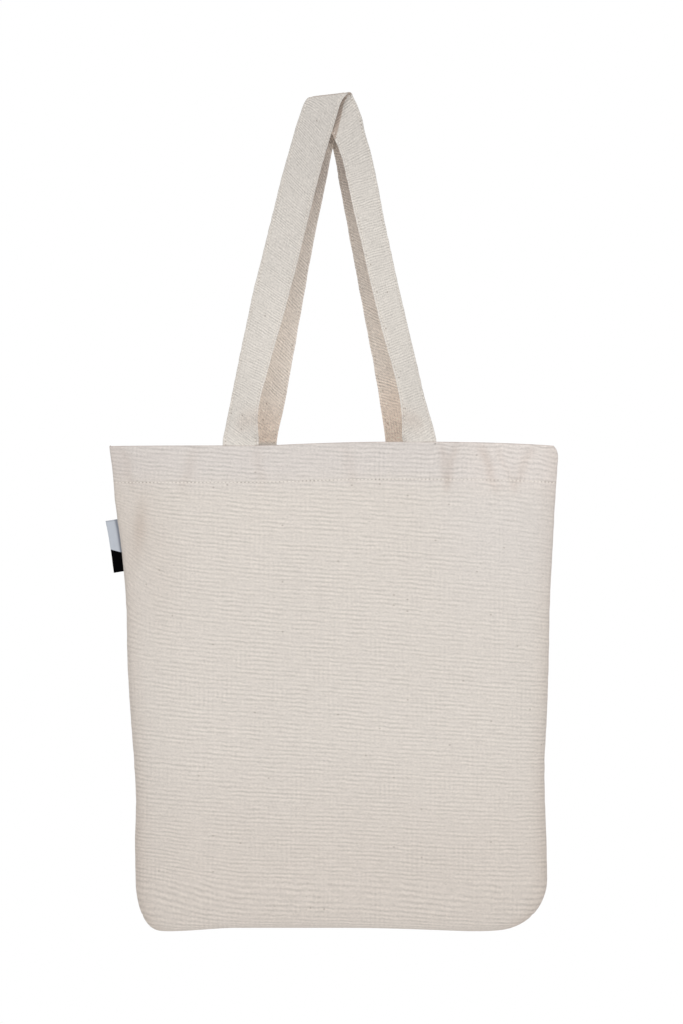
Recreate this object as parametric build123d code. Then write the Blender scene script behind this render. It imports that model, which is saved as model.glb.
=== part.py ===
from build123d import *
import os
from math import cos, pi, radians, sin

# A long-handled canvas tote bag, hanging empty by its two handles.
# Millimetres. The origin is the hang point, under the folds of the two handles.
# +X is the bag's right as seen from the front, +Y its back, +Z up.

# Cloth
cloth = 0.9  # thickness of one layer of canvas
layer_gap = 0.05  # air between two layers that are sewn together

# Body of the bag
hang_height = 300.0  # hang point above the middle of the mouth's edge
bag_height = 420.0  # mouth edge to base
mouth_width = 387.0
waist_narrowing = 20.0  # how much narrower than the mouth the bag hangs at each level
belly_narrowing = 29.0
base_narrowing = 31.0
mouth_depth = 38.0
waist_depth = 50.0
belly_depth = 58.0
base_depth = 54.0
mouth_end_radius = 3.6  # how sharply the two sides are pinched at the side seams
waist_end_radius = 9.0
belly_end_radius = 16.0
base_end_radius = 18.0
waist_height = 285.0  # heights above the base
belly_height = 147.0
corner_height = 44.0  # where the rounded bottom corners begin
left_corner_run = 20.0
right_corner_run = 45.0
base_rounding = 10.0  # how far the front and the back draw in towards the base
end_curve = 85.5  # the front and the back curve round over this much at each end
sway = 9.0  # the base hangs this far to the right of the hang point
mouth_crown = 3.0  # the mouth's edge is this much lower at its ends
rim_spare = 2.0  # the forms run this far past the mouth and are trimmed to it
pinch_radius = 0.3  # least radius of an inner layer where the two sides meet

# Hem and seams
hem_depth = 34.0  # facing inside the mouth
seam_allowance = 10.0
corner_allowance = 8.0
seam_gap = 0.2  # air between a seam allowance and the wall beside it

# Handles
strap_width = 31.0
strap_thickness = 2.4
strap_tuck = 31.0  # length of strap caught between panel and facing
front_foot_spacing = 155.0  # centre to centre of one handle's two ends
back_foot_spacing = 126.0
fold_radius = 2.0  # inside of the fold, round what the bag hangs on
fold_width = 32.5  # strap measured along the slanting fold
fold_tilt = 6.0  # degrees, the fold rises to the right
fold_drift = 6.0  # the strap moves this far along the fold while it turns
fold_offset = -1.8  # middle of the front handle's fold from the hang point
back_fold_shift = 3.5  # the back handle's fold lies further right
back_twist_share = 0.3  # the back handle's legs twist this much less
apex_gap = 1.2  # air between the two folds
hinge_gap = 0.3  # air between a handle and its sewn-in end

# Label in the left side seam
label_length = 44.0
label_reach = 9.3  # how far it stands out of the seam
label_tuck = 7.0
label_thickness = 0.8
label_drop = 88.5  # its middle below the mouth

# Each leg of a handle, from foot to fold: share of the rise, share of the sideways
# spread that is left, and the twist in degrees that brings the inner edge forward.
LEFT_LEG = (
    (0.09, 0.985, 24),
    (0.21, 0.880, 27),
    (0.43, 0.658, 8),
    (0.60, 0.486, 0),
    (0.88, 0.183, 0),
)
RIGHT_LEG = (
    (0.09, 0.950, 24),
    (0.23, 0.820, 42),
    (0.44, 0.608, 41),
    (0.69, 0.399, 36),
    (0.90, 0.170, 10),
)

# Share of the sway at each level
MOUTH_SWAY = 0.15
WAIST_SWAY = 0.65
BELLY_SWAY = 0.80

CORNER_STEPS = 6
FOLD_STEPS = 6
reach = 3 * mouth_width  # larger than the bag, for cutting blocks

mouth_z = -hang_height
base_z = mouth_z - bag_height
rim_height = bag_height + mouth_crown + rim_spare
flat_width = mouth_width - 2 * end_curve  # stretch that the handles pull straight
strap_y = mouth_depth / 2 - cloth - 2 * layer_gap - strap_thickness / 2


def level(height, narrowing, sway_share, depth, end_radius):
    """One horizontal outline: height, left and right end, half depth, end radius, middle."""
    middle = sway * sway_share
    width = mouth_width - narrowing
    return (height, middle - width / 2, middle + width / 2, depth / 2, end_radius, middle)


def body_levels():
    """Outlines from above the mouth down to where the bottom corners begin."""
    return [
        level(rim_height, 0, MOUTH_SWAY, mouth_depth, mouth_end_radius),
        level(waist_height, waist_narrowing, WAIST_SWAY, waist_depth, waist_end_radius),
        level(belly_height, belly_narrowing, BELLY_SWAY, belly_depth, belly_end_radius),
        corner_level(),
    ]


def corner_level():
    """The outline where the rounded bottom corners begin."""
    return level(corner_height, base_narrowing, 1.0, base_depth, base_end_radius)


def corner_levels(inset):
    """Outlines down the rounded bottom: quarter ellipses on the left, right, front and back."""
    _, left, right, half, radius, middle = corner_level()
    found = []
    for step in range(CORNER_STEPS + 1):
        angle = pi / 2 * step / CORNER_STEPS
        sunk = 1 - cos(angle)
        found.append((
            inset + (corner_height - inset) * (1 - sin(angle)),
            left + (left_corner_run - inset) * sunk,
            right - (right_corner_run - inset) * sunk,
            half - base_rounding * sunk,
            radius - base_rounding / 2 * sunk,
            middle,
        ))
    return found


def outline(level_values, inset):
    """Horizontal face: flat front and back, arcs to the ends, and a half circle at each end."""
    height, left, right, half, radius, middle = level_values
    half = half - inset
    radius = max(radius - inset, pinch_radius)
    left = left + inset + radius
    right = right - inset - radius
    near = middle - flat_width / 2
    far = middle + flat_width / 2
    edges = [
        Line((near, -half), (far, -half)),
        TangentArc((far, -half), (right, -radius), tangent=(1, 0)),
        ThreePointArc((right, -radius), (right + radius, 0), (right, radius)),
        TangentArc((far, half), (right, radius), tangent=(1, 0)),
        Line((far, half), (near, half)),
        TangentArc((near, half), (left, radius), tangent=(-1, 0)),
        ThreePointArc((left, radius), (left - radius, 0), (left, -radius)),
        TangentArc((near, -half), (left, -radius), tangent=(-1, 0)),
    ]
    return Pos(0, 0, base_z + height) * make_face(edges)


def form(inset):
    """The space inside a surface that lies this far within the bag's outer skin."""
    upper = loft([outline(values, inset) for values in body_levels()])
    lower = loft([outline(values, inset) for values in corner_levels(inset)])
    return upper + lower


def below_mouth(drop):
    """Everything under the mouth's edge, or under a line this far below it."""
    top = mouth_z - drop
    span = 2 * (mouth_width / 2)  # twice as far out as the mouth's ends, so four times the fall
    fall = 4 * mouth_crown
    floor_z = base_z - rim_spare
    crown = ThreePointArc((-span, top - fall), (0, top), (span, top - fall))
    floor = Polyline((span, top - fall), (span, floor_z), (-span, floor_z), (-span, top - fall))
    face = make_face([Plane.XZ * edge for edge in (crown, *floor.edges())])
    return extrude(face, reach, both=True)


def mouth_at(x):
    """Height of the mouth's edge at a place across the bag."""
    return mouth_z - mouth_crown * (x / (mouth_width / 2)) ** 2


def block(x_range, y_range, z_range):
    """A box given by its ranges."""
    size = [b - a for a, b in (x_range, y_range, z_range)]
    middle = [(a + b) / 2 for a, b in (x_range, y_range, z_range)]
    return Pos(*middle) * Box(*size)


def half_space(side):
    """The front half (side -1) or the back half (side 1) of everything."""
    y_range = (-reach, 0) if side < 0 else (0, reach)
    return block((-reach, reach), y_range, (-reach, reach))


def left_side_x(outer, height):
    """Where the body's left side lies at a height above the base."""
    slice_box = Pos(0, 0, base_z + height) * Box(reach, reach, layer_gap)
    return (outer & slice_box).bounding_box().min.X


def foot_places(side):
    """Middle of the left and the right end of one handle."""
    spacing = front_foot_spacing if side < 0 else back_foot_spacing
    return (-spacing / 2, spacing / 2)


def strap_column(x, spare, length):
    """A box over one strap end, wider than the strap by a spare on each side."""
    half = strap_width / 2 + spare
    return block((x - half, x + half), (-reach, reach), (mouth_z - length, reach))


def label(outer):
    """The folded label, slanting with the left side seam."""
    height = bag_height - label_drop
    edge = left_side_x(outer, height)
    slope = degrees_of(left_side_x(outer, height + label_length) - edge, label_length)
    width = label_tuck + label_reach
    plate = Pos(label_tuck - width / 2, 0, 0) * Box(width, label_thickness, label_length)
    plate = fillet(plate.edges().filter_by(Axis.Y).group_by(Axis.X)[0], label_thickness)
    return Pos(edge, 0, base_z + height) * Rot(0, slope, 0) * plate


def degrees_of(run, rise):
    """Angle of a line that leans by run over rise, as a turn about Y."""
    return Vector(0, 0, 1).get_signed_angle(Vector(run, 0, rise), Vector(0, 1, 0))


def panel(side, outer, inner, label_slot):
    """Front or back panel: one side of the body with its half of the sides and base."""
    shell = (outer - inner) & half_space(side)
    return (shell & below_mouth(0)) - label_slot


def facing(side, inner):
    """Strip of canvas inside the mouth, stepping over the two strap ends."""
    lining = inner - form(2 * cloth + layer_gap)
    step = inner - form(2 * cloth + strap_thickness + 3 * layer_gap)
    pocket = inner - form(cloth + strap_thickness + 3 * layer_gap)
    for x in foot_places(side):
        lining = lining + (step & strap_column(x, cloth + layer_gap, reach))
    for x in foot_places(side):
        lining = lining - (pocket & strap_column(x, layer_gap, reach))
    return (lining & half_space(side) & below_mouth(0)) - below_mouth(hem_depth)


def strap_end(side, x):
    """The end of a strap, sewn flat between panel and facing."""
    sheet = form(cloth + 2 * layer_gap) - form(cloth + 2 * layer_gap + strap_thickness)
    return sheet & half_space(side) & strap_column(x, 0, strap_tuck) & below_mouth(0)


def corner_block(side, depth):
    """Thin block across a bottom corner, this deep along the inward normal of its curve."""
    _, left, right, _, _, _ = corner_level()
    run = left_corner_run if side < 0 else right_corner_run
    edge = left if side < 0 else right
    x = edge - side * run * (1 - cos(pi / 4))
    z = base_z + corner_height * (1 - sin(pi / 4))
    normal = Vector(-side * corner_height, 0, run).normalized()
    plane = Plane(origin=Vector(x, 0, z) + normal * depth / 2, x_dir=(0, 1, 0), z_dir=normal)
    return plane * Box(2 * base_depth, 2 * cloth, depth)


def seams(inner, label_slot):
    """Overlocked allowances inside: down both sides, along the base and across the corners."""
    room = form(cloth + seam_gap) & below_mouth(hem_depth + seam_gap)
    rows = body_levels() + corner_levels(0)[1:]
    depth = cloth + seam_allowance
    left = Spline([(row[1] + depth, base_z + row[0] + depth) for row in rows])
    right = Spline([(row[2] - depth, base_z + row[0] + depth) for row in rows])
    outline_edges = (left, right, Line(left @ 0, right @ 0), Line(left @ 1, right @ 1))
    hollow = make_face([Plane.XZ * edge for edge in outline_edges])
    ring = (room & Box(reach, 2 * cloth, 2 * reach)) - extrude(hollow, reach, both=True)
    corners = [room & corner_block(side, cloth + corner_allowance) for side in (-1, 1)]
    ring = ring - corner_block(-1, 3 * depth) - corner_block(1, 3 * depth)
    pieces = ring.solids().sort_by(Axis.X)
    return {
        "left_side_seam": pieces[0] - label_slot,
        "base_seam": pieces[1],
        "right_side_seam": pieces[2],
        "left_corner_seam": corners[0],
        "right_corner_seam": corners[1],
    }


def strap_section(place, across, along, width):
    """Cross-section of a strap at a place, across its width and along its length."""
    plane = Plane(origin=place, x_dir=across, z_dir=along)
    return plane * Rectangle(width, strap_thickness)


def leg(side, foot, top, top_section, stations, twist_share):
    """One leg of a handle, from its foot at the mouth to the fold."""
    places = [foot]
    for rise, spread, _ in stations:
        across = top.X + (foot.X - top.X) * spread
        depth = foot.Y + (top.Y - foot.Y) * rise
        places.append(Vector(across, depth, foot.Z + (top.Z - foot.Z) * rise))
    places.append(top)
    sections = [strap_section(foot, (1, 0, 0), (0, 0, 1), strap_width)]
    for index, (_, _, twist) in enumerate(stations, start=1):
        along = (places[index + 1] - places[index - 1]).normalized()
        flat = Vector(0, 1, 0).cross(along).normalized()
        across = flat.rotate(Axis((0, 0, 0), along), side * twist * twist_share)
        sections.append(strap_section(places[index], across, along, strap_width))
    sections.append(top_section)
    return loft(sections)


def handle(side):
    """One strap: two twisted legs and the slanting fold that hangs on the hook or rail."""
    tilt = radians(fold_tilt)
    line = Vector(cos(tilt), 0, sin(tilt))
    up = Vector(-sin(tilt), 0, cos(tilt))
    turn = fold_radius + strap_thickness / 2
    shift = 0 if side < 0 else back_fold_shift
    middle = Vector(fold_offset + shift, side * (apex_gap / 2 + strap_thickness + fold_radius), -fold_radius)
    rings = []
    for step in range(FOLD_STEPS + 1):
        angle = pi * step / FOLD_STEPS
        drift = line * fold_drift * (step / FOLD_STEPS - 0.5)
        place = middle + drift + Vector(0, -turn * cos(angle), 0) + up * turn * sin(angle)
        along = Vector(0, sin(angle), 0) + up * cos(angle)
        rings.append((place, strap_section(place, line, along, fold_width)))
    legs = []
    share = 1 if side < 0 else back_twist_share
    plans = ((-1, LEFT_LEG, rings[0]), (1, RIGHT_LEG, rings[-1]))
    for x, (hand, stations, (top, top_section)) in zip(foot_places(side), plans):
        foot = Vector(x, side * strap_y, mouth_at(x) + hinge_gap)
        legs.append(leg(hand, foot, top, top_section, stations, share))
    return legs[0] + loft([section for _, section in rings]) + legs[1]


def model():
    """Every sub-part by name."""
    outer = form(0)
    inner = form(cloth)
    tag = label(outer)
    parts = {
        "front_panel": panel(-1, outer, inner, tag),
        "back_panel": panel(1, outer, inner, tag),
        "front_facing": facing(-1, form(cloth + layer_gap)),
        "back_facing": facing(1, form(cloth + layer_gap)),
        "front_handle": handle(-1),
        "back_handle": handle(1),
        "side_label": tag,
    }
    parts.update(seams(inner, tag))
    for side, word in ((-1, "front"), (1, "back")):
        for x, hand in zip(foot_places(side), ("left", "right")):
            parts[f"{word}_{hand}_strap_end"] = strap_end(side, x)
    return parts


os.makedirs("parts", exist_ok=True)
for name, shape in model().items():
    export_step(shape, f"parts/{name}.step")
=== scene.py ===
from functools import partialmethod
from itertools import product

import bpy
import numpy as np
from bpy.props import FloatProperty, FloatVectorProperty, PointerProperty
from bpy.types import Operator, Panel, PropertyGroup
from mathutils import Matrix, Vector


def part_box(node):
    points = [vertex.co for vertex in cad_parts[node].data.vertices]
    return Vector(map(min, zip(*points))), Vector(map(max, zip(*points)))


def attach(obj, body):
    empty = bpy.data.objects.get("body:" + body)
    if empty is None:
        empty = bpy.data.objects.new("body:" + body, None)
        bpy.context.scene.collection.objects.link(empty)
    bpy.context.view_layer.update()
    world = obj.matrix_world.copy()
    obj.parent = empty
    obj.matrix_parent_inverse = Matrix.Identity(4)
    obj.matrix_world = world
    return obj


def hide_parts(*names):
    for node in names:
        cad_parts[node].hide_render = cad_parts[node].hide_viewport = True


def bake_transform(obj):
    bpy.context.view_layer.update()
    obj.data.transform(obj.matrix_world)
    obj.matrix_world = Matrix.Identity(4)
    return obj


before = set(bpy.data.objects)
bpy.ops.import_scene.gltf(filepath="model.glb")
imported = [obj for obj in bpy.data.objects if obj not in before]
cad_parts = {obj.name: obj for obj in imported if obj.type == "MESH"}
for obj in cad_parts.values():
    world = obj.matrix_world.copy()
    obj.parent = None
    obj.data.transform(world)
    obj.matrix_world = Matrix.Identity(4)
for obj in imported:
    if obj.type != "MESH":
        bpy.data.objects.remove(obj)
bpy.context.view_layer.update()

bl_info = {
    "name": "Canvas Tote Bag",
    "version": (1, 0, 0),
    "blender": (4, 5, 0),
    "location": "3D View > Sidebar > Tote Bag",
    "description": "Makes the cloth, straps, tag and thread of a long-handled canvas tote bag",
    "category": "Object",
}

# Metres throughout. +X is the bag's right from the front, +Y its back, +Z up. A side is -1
# for the front of the bag and 1 for its back; a hand is -1 for the left and 1 for the right.

SIDES = ((-1, "front"), (1, "back"))
HANDS = ((-1, "left"), (1, "right"))
PANEL_LOW, PANEL_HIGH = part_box("front_panel")
MOUTH_Z = PANEL_HIGH.z
BASE_Z = PANEL_LOW.z
BAG_HEIGHT = MOUTH_Z - BASE_Z
FEET = {
    (side, hand): sum(corner.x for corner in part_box(f"{word}_{hand_word}_strap_end")) / 2
    for side, word in SIDES for hand, hand_word in HANDS
}
FOOT_Y = sum(corner.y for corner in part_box("back_left_strap_end")) / 2
TUCK = MOUTH_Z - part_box("front_left_strap_end")[0].z

# Outlines of the body: height above the base, left end, right end, half depth, end radius
LEVELS = np.array((
    (0.044, -0.1692, 0.1872, 0.0268, 0.0165),
    (0.077, -0.1697, 0.1866, 0.0279, 0.0160),
    (0.112, -0.1689, 0.1853, 0.0287, 0.0155),
    (0.147, -0.1706, 0.1850, 0.0286, 0.0148),
    (0.181, -0.1732, 0.1868, 0.0277, 0.0136),
    (0.230, -0.1762, 0.1885, 0.0264, 0.0118),
    (0.285, -0.1776, 0.1897, 0.0248, 0.0092),
    (0.335, -0.1822, 0.1923, 0.0228, 0.0070),
    (0.372, -0.1872, 0.1943, 0.0211, 0.0054),
    (0.402, -0.1899, 0.1963, 0.0198, 0.0042),
    (0.4132, -0.1915, 0.1967, 0.0193, 0.0038),
    (0.4170, -0.1920, 0.1956, 0.0192, 0.0037),
    (0.4200, -0.1923, 0.1933, 0.0191, 0.0036),
    (0.426, -0.1931, 0.1880, 0.0189, 0.0034),
))
MIDDLE_X = 0.006
FLAT_HALF = 0.108  # half of the stretch that the handles pull straight
CORNER_HEIGHT = 0.044  # the rounded bottom begins here
LEFT_RUN = 0.020  # how far in each bottom corner comes
RIGHT_RUN = 0.0435
BASE_ROUNDING = 0.010  # how far the front and the back draw in towards the base
BEND_LENGTH = 0.0466  # cloth round the bottom edge
BASE_HALF = 0.017  # cloth from there to the base seam
WALL = BAG_HEIGHT - CORNER_HEIGHT
CLOTH_LENGTH = WALL + BEND_LENGTH + BASE_HALF
FLAT_SHARE = 0.48  # of half a panel's grid across: the flat stretch ends here
ARC_SHARE = 0.90  # and the arc here
LEAST_RADIUS = 0.0003  # of the circle at an outline's end
HEM_SHARES = np.linspace(0.005, 0.995, 900)  # places across a panel where its hem is measured
INSIDE_GAP = 0.0003  # air between the panels and what is sewn inside

# The mouth's edge: place across, height from the top of the panel
MOUTH_EDGE = np.array((
    (-0.210, -0.0016), (-0.180, -0.0014), (-0.095, -0.0013), (-0.050, -0.0010), (-0.022, 0.0002),
    (0.025, 0.0016), (0.112, 0.0016), (0.160, 0.0004), (0.190, -0.0010), (0.210, -0.0026),
))

# Puckers in the hem: place across, width, depth, slant
PUCKERS = (
    (0.0970, 0.0034, 0.8, 0.10),
    (0.1040, 0.0030, 0.9, -0.20),
    (0.1340, 0.0042, 1.0, 0.30),
    (0.1480, 0.0030, 0.5, 0.45),
    (0.1670, 0.0040, 0.8, -0.40),
    (-0.062, 0.0045, 0.45, 0.15),
    (-0.121, 0.0050, 0.5, -0.25),
    (0.015, 0.0050, 0.4, 0.20),
    (-0.176, 0.0040, 0.6, 0.20),
)

# Legs of a handle by side and hand, foot to fold: share of the rise, place across, and the
# twist in degrees that brings the inner edge forward
LEGS = {
    (-1, -1): (
        (0.040, -0.0768, 21), (0.077, -0.0759, 31), (0.112, -0.0743, 35), (0.150, -0.0721, 35),
        (0.207, -0.0681, 31), (0.297, -0.0617, 24), (0.364, -0.0568, 17), (0.427, -0.0522, 9),
        (0.508, -0.0460, 3), (0.592, -0.0398, 0), (0.764, -0.0271, 0), (0.892, -0.0165, 0),
        (0.950, -0.0112, 0),
    ),
    (-1, 1): (
        (0.040, 0.0748, 25), (0.078, 0.0730, 37), (0.112, 0.0711, 43), (0.150, 0.0687, 46),
        (0.208, 0.0648, 46), (0.297, 0.0580, 43), (0.428, 0.0485, 41), (0.594, 0.0375, 39),
        (0.678, 0.0320, 37), (0.766, 0.0267, 34), (0.839, 0.0218, 33), (0.895, 0.0161, 31),
        (0.950, 0.0098, 17),
    ),
    (1, -1): (
        (0.132, -0.0556, 0), (0.423, -0.0400, 0), (0.601, -0.0304, 0), (0.781, -0.0191, 5),
        (0.871, -0.0132, 16), (0.940, -0.0080, 16),
    ),
    (1, 1): (
        (0.132, 0.0579, 0), (0.423, 0.0421, 0), (0.601, 0.0321, 0), (0.781, 0.0219, 6),
        (0.871, 0.0164, 16), (0.940, 0.0098, 22),
    ),
}

# The fold of a handle: radius, tilt, place, and by side its middle, the strap's drift along
# it while it turns, and how much wider than the strap it is
FOLD_TURN = 0.0032
FOLD_TILT = np.radians(6.5)
FOLD_Y = 0.005
FOLD_Z = -0.002
FOLD_X = {-1: -0.0018, 1: 0.0006}
FOLD_DRIFT = {-1: 0.0084, 1: 0.0040}
FOLD_GAIN = {-1: 1.045, 1: 1.0}
FOLD_REACH = 0.040  # the strap starts to slant this far below the fold
STRAP_STEP = 0.0016  # grid step along a strap

# How the weave slants across a strap: share of its length, slope
SKEWS = {
    -1: (
        (0.0, 0.95), (0.04, 0.80), (0.08, 0.45), (0.12, 0.25), (0.20, 0.32), (0.28, 0.42),
        (0.40, 0.62), (0.48, 0.72), (0.52, 0.52), (0.57, 0.30), (0.65, 0.18), (0.80, 0.18),
        (0.90, 0.20), (0.95, 0.42), (1.0, 0.62),
    ),
    1: ((0.0, 0.6), (0.25, 0.7), (0.46, 0.8), (0.53, 0.0), (1.0, -0.4)),
}
WEAVE_STRETCH = {-1: 1.0, 1: 0.82}

# Overlock thread: half the width of a zigzag, its length, and its lean to each side
OVERLOCK_WIDTH = 0.0024
OVERLOCK_PITCH = 0.0032
OVERLOCK_SWING = 0.0011

# The tag: length down the seam, reach out of it, tuck into it, radius of its fold and
# thickness of its tape
TAG_LENGTH = 0.0449
TAG_REACH = 0.0098
TAG_TUCK = 0.0062
TAG_RADIUS = 0.00042
TAG_TAPE = 0.0003

# Looks of the two cloths: colour, spacing and depth of the rows, their share of the depth,
# seed specks, and the tint where the cloth is dimmed, mostly by painted shade
CLOTHS = {
    "undyed_canvas": ("canvas", "rib", 0.180, 0.78, 0.7, (0.84, 0.79, 0.76, 1)),
    "undyed_strap": ("strap", "strap_rib", 0.300, 0.60, 0.9, (0.62, 0.62, 0.635, 1)),
}

# Stage: lamps as name, place, size and power; what they face; the camera's place and view
LAMPS = (
    ("left_softbox", (-1.1, -2.5, 0.9), 1.2, 14.5),
    ("right_softbox", (1.3, -2.6, 0.5), 1.2, 17.7),
    ("top_softbox", (0.1, -0.8, 2.2), 1.4, 8.0),
    ("back_softbox", (-0.4, 2.3, 1.8), 1.4, 17.0),
)
LAMP_TARGET = np.array((0.009, 0.0, -0.42))
CAMERA_PLACE = (0.0091, -2.2, -0.3585)
VIEW_HEIGHT = 0.8868
SENSOR = 36.0
FLOOR_DROP = 0.53  # below the base
FLOOR_RINGS = np.array((0.0004, 0.7, 1.4, 2.1))


# Sizes and colours

def metres(name, description, default):
    """A length that can be set."""
    return FloatProperty(name=name, description=description, default=default, unit="LENGTH")


def colour(name, description, default):
    """A colour that can be set."""
    return FloatVectorProperty(
        name=name, description=description, default=default, subtype="COLOR",
    )


class ToteSizes(PropertyGroup):
    """Sizes of the cloth, seams and thread, and of its slack, pulls and puckers."""
    cloth: metres("Cloth", "Thickness of one layer of canvas", 0.0009)
    gap: metres("Layer gap", "Air between sewn layers", 0.00005)
    yarn: metres("Yarn", "Spacing of the canvas yarns", 0.00062)
    rib: metres("Rib", "Spacing of the thicker weft rows", 0.00374)
    strap_rib: metres("Strap rib", "Spacing of the strap's rows", 0.0022)
    hem: metres("Hem", "Stitched row below the mouth", 0.032)
    facing: metres("Facing", "Depth of the facing inside the mouth", 0.034)
    allowance: metres("Seam allowance", "Width of the allowance inside", 0.010)
    strap: metres("Strap width", "Width of a handle's strap", 0.031)
    strap_layers: metres("Strap", "Thickness of the folded strap", 0.0021)
    strap_row: metres("Strap row", "Edge stitches to the strap's edge", 0.0024)
    pitch: metres("Stitch pitch", "Distance from stitch to stitch", 0.0033)
    stitch: metres("Stitch length", "Length of thread that shows", 0.0025)
    thread: metres("Thread", "Thickness of the sewing thread", 0.00042)
    ripple: metres("Ripple", "Height of the slack cloth's waves", 0.0011)
    pull: metres("Strap pull", "Ridge under each strap", 0.0013)
    pucker: metres("Pucker", "Small folds along the hem", 0.0009)
    valley: metres("Seam valley", "How deep a seam pulls in", 0.0008)
    arch: metres("Base arch", "Rise of the base between its corners", 0.0041)
    buckle: metres("Buckle", "Creases at a strap's foot", 0.0008)


class ToteColours(PropertyGroup):
    """Colours of the cloth, thread and tag."""
    canvas: colour("Canvas", "Undyed canvas", (0.690, 0.637, 0.585))
    strap: colour("Strap", "Undyed strap", (0.711, 0.668, 0.615))
    fleck: colour("Fleck", "Seed specks in the cotton", (0.20, 0.15, 0.11))
    thread: colour("Thread", "Sewing thread", (0.93, 0.885, 0.82))
    tag_pale: colour("Tag, pale", "Upper part of the tag", (0.50, 0.53, 0.58))
    tag_dark: colour("Tag, dark", "Lower part of the tag", (0.0015, 0.0015, 0.002))


# Curves and grids

def smooth_between(knots, values, at):
    """Cubic curve through values at rising knots, whose slope at each is its neighbours'
    difference."""
    knots = np.asarray(knots, float)
    values = np.asarray(values, float)
    slopes = np.gradient(values, knots, axis=0)
    index = np.clip(np.searchsorted(knots, at) - 1, 0, len(knots) - 2)
    span = knots[index + 1] - knots[index]
    t = np.clip((at - knots[index]) / span, 0, 1)
    if values.ndim > 1:
        span = span[..., None]
        t = t[..., None]
    start = (2 * t**3 - 3 * t**2 + 1) * values[index] + (t**3 - 2 * t**2 + t) * span * slopes[index]
    end = (3 * t**2 - 2 * t**3) * values[index + 1] + (t**3 - t**2) * span * slopes[index + 1]
    return start + end


def step(value, none=0.0, full=1.0):
    """0 at one value and beyond it, 1 at the other and beyond it, and 3t^2 - 2t^3 between."""
    t = np.clip((value - none) / (full - none), 0, 1)
    return t * t * (3 - 2 * t)


def hump(distance, width):
    """Bell curve exp(-(distance/width)^2)."""
    return np.exp(-(distance / width) ** 2)


def waves(a, b, seed, count, shortest, longest):
    """Sum of sines in seeded directions, each as high as its wave is long; about -1 to 1."""
    random = np.random.default_rng(seed)
    length = shortest * (longest / shortest) ** random.random(count)
    angle = random.random(count) * np.pi
    phase = random.random(count) * 2 * np.pi
    along = a[..., None] * np.cos(angle) + b[..., None] * np.sin(angle)
    height = length / length.sum() * 2.2
    return (height * np.sin(2 * np.pi * along / length + phase)).sum(-1)


def unit(vectors):
    """Vectors scaled to length 1."""
    return vectors / np.maximum(np.linalg.norm(vectors, axis=-1, keepdims=True), 1e-12)


def distances(points):
    """Distance along a line of points from its first."""
    steps = np.linalg.norm(np.diff(points, axis=0), axis=1)
    return np.concatenate(([0.0], np.cumsum(steps)))


def along_line(at, run, values):
    """Vectors given at distances along a line, read off at other distances."""
    return np.stack([np.interp(at, run, column) for column in values.T], axis=1)


def stitch_places(line, along, up, spacing):
    """Place, direction and upward direction of each stitch along a line of points, the first
    and the last half a spacing in from its ends."""
    run = distances(line)
    count = int(run[-1] / spacing)
    at = (np.arange(count) + 0.5) * run[-1] / count
    return [along_line(at, run, values) for values in (line, along, up)]


def grid_normals(grid):
    """Unit cross product of a grid's step down and its step across."""
    return unit(np.cross(np.gradient(grid, axis=0), np.gradient(grid, axis=1)))


def grid_quads(rows, columns, wrap=False):
    """Corner numbers of a grid's faces, which face along down x across."""
    index = np.arange(rows * columns).reshape(rows, columns)
    if wrap:
        index = np.concatenate((index, index[:, :1]), axis=1)
    corners = (index[:-1, :-1], index[1:, :-1], index[1:, 1:], index[:-1, 1:])
    return np.stack(corners, axis=-1).reshape(-1, 4)


# Meshes

def new_object(name, data):
    """A new object in the scene."""
    item = bpy.data.objects.new(name, data)
    bpy.context.scene.collection.objects.link(item)
    return item


def new_piece(name, points, quads, maps=None, masks=None):
    """Smooth-shaded object from arrays: corner places, faces, UV maps in metres, masks."""
    mesh = bpy.data.meshes.new(name)
    mesh.vertices.add(len(points))
    mesh.vertices.foreach_set("co", np.asarray(points, np.float32).ravel())
    mesh.loops.add(quads.size)
    mesh.polygons.add(len(quads))
    mesh.polygons.foreach_set("loop_start", np.arange(0, quads.size, 4, dtype=np.int32))
    mesh.loops.foreach_set("vertex_index", quads.astype(np.int32).ravel())
    mesh.update(calc_edges=True)
    mesh.polygons.foreach_set("use_smooth", np.ones(len(quads), bool))
    for word, values in (maps or {}).items():
        layer = mesh.uv_layers.new(name=word)
        values = values.reshape(-1, 2).astype(np.float32)
        layer.uv.foreach_set("vector", values[quads.ravel()].ravel())
    for word, values in (masks or {}).items():
        layer = mesh.attributes.new(word, "FLOAT", "POINT")
        layer.data.foreach_set("value", values.astype(np.float32).ravel())
    if mesh.validate():
        raise RuntimeError(f"{name} has faces that aren't valid")
    return new_object(name, mesh)


def spread(masks, grid):
    """Masks with a value for each of a grid's points."""
    return {word: np.broadcast_to(values, grid.shape[:2]) for word, values in (masks or {}).items()}


def sheet_piece(name, grid, thickness, cloth, outward, stitch=None, masks=None):
    """Closed sheet: the grid, its copy moved in along the normals by the thickness, and a rim."""
    rows, columns = grid.shape[:2]
    count = rows * columns
    inner = grid - grid_normals(grid) * outward * thickness
    quads = grid_quads(rows, columns)
    index = np.arange(count).reshape(rows, columns)
    border = np.concatenate((index[0, :-1], index[:-1, -1], index[-1, :0:-1], index[:0:-1, 0]))
    following = np.roll(border, -1)
    rim = np.stack((border, following, following + count, border + count), axis=-1)
    faces = np.concatenate((quads, quads[:, ::-1] + count, rim))
    maps = {"cloth": cloth, "stitch": np.ones_like(cloth) if stitch is None else stitch}
    masks = spread(masks, grid)
    return new_piece(
        name,
        np.concatenate((grid, inner)).reshape(-1, 3),
        faces[:, ::-1] if outward < 0 else faces,
        {word: np.concatenate((values, values)) for word, values in maps.items()},
        {word: np.concatenate((values, values)) for word, values in masks.items()},
    )


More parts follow.
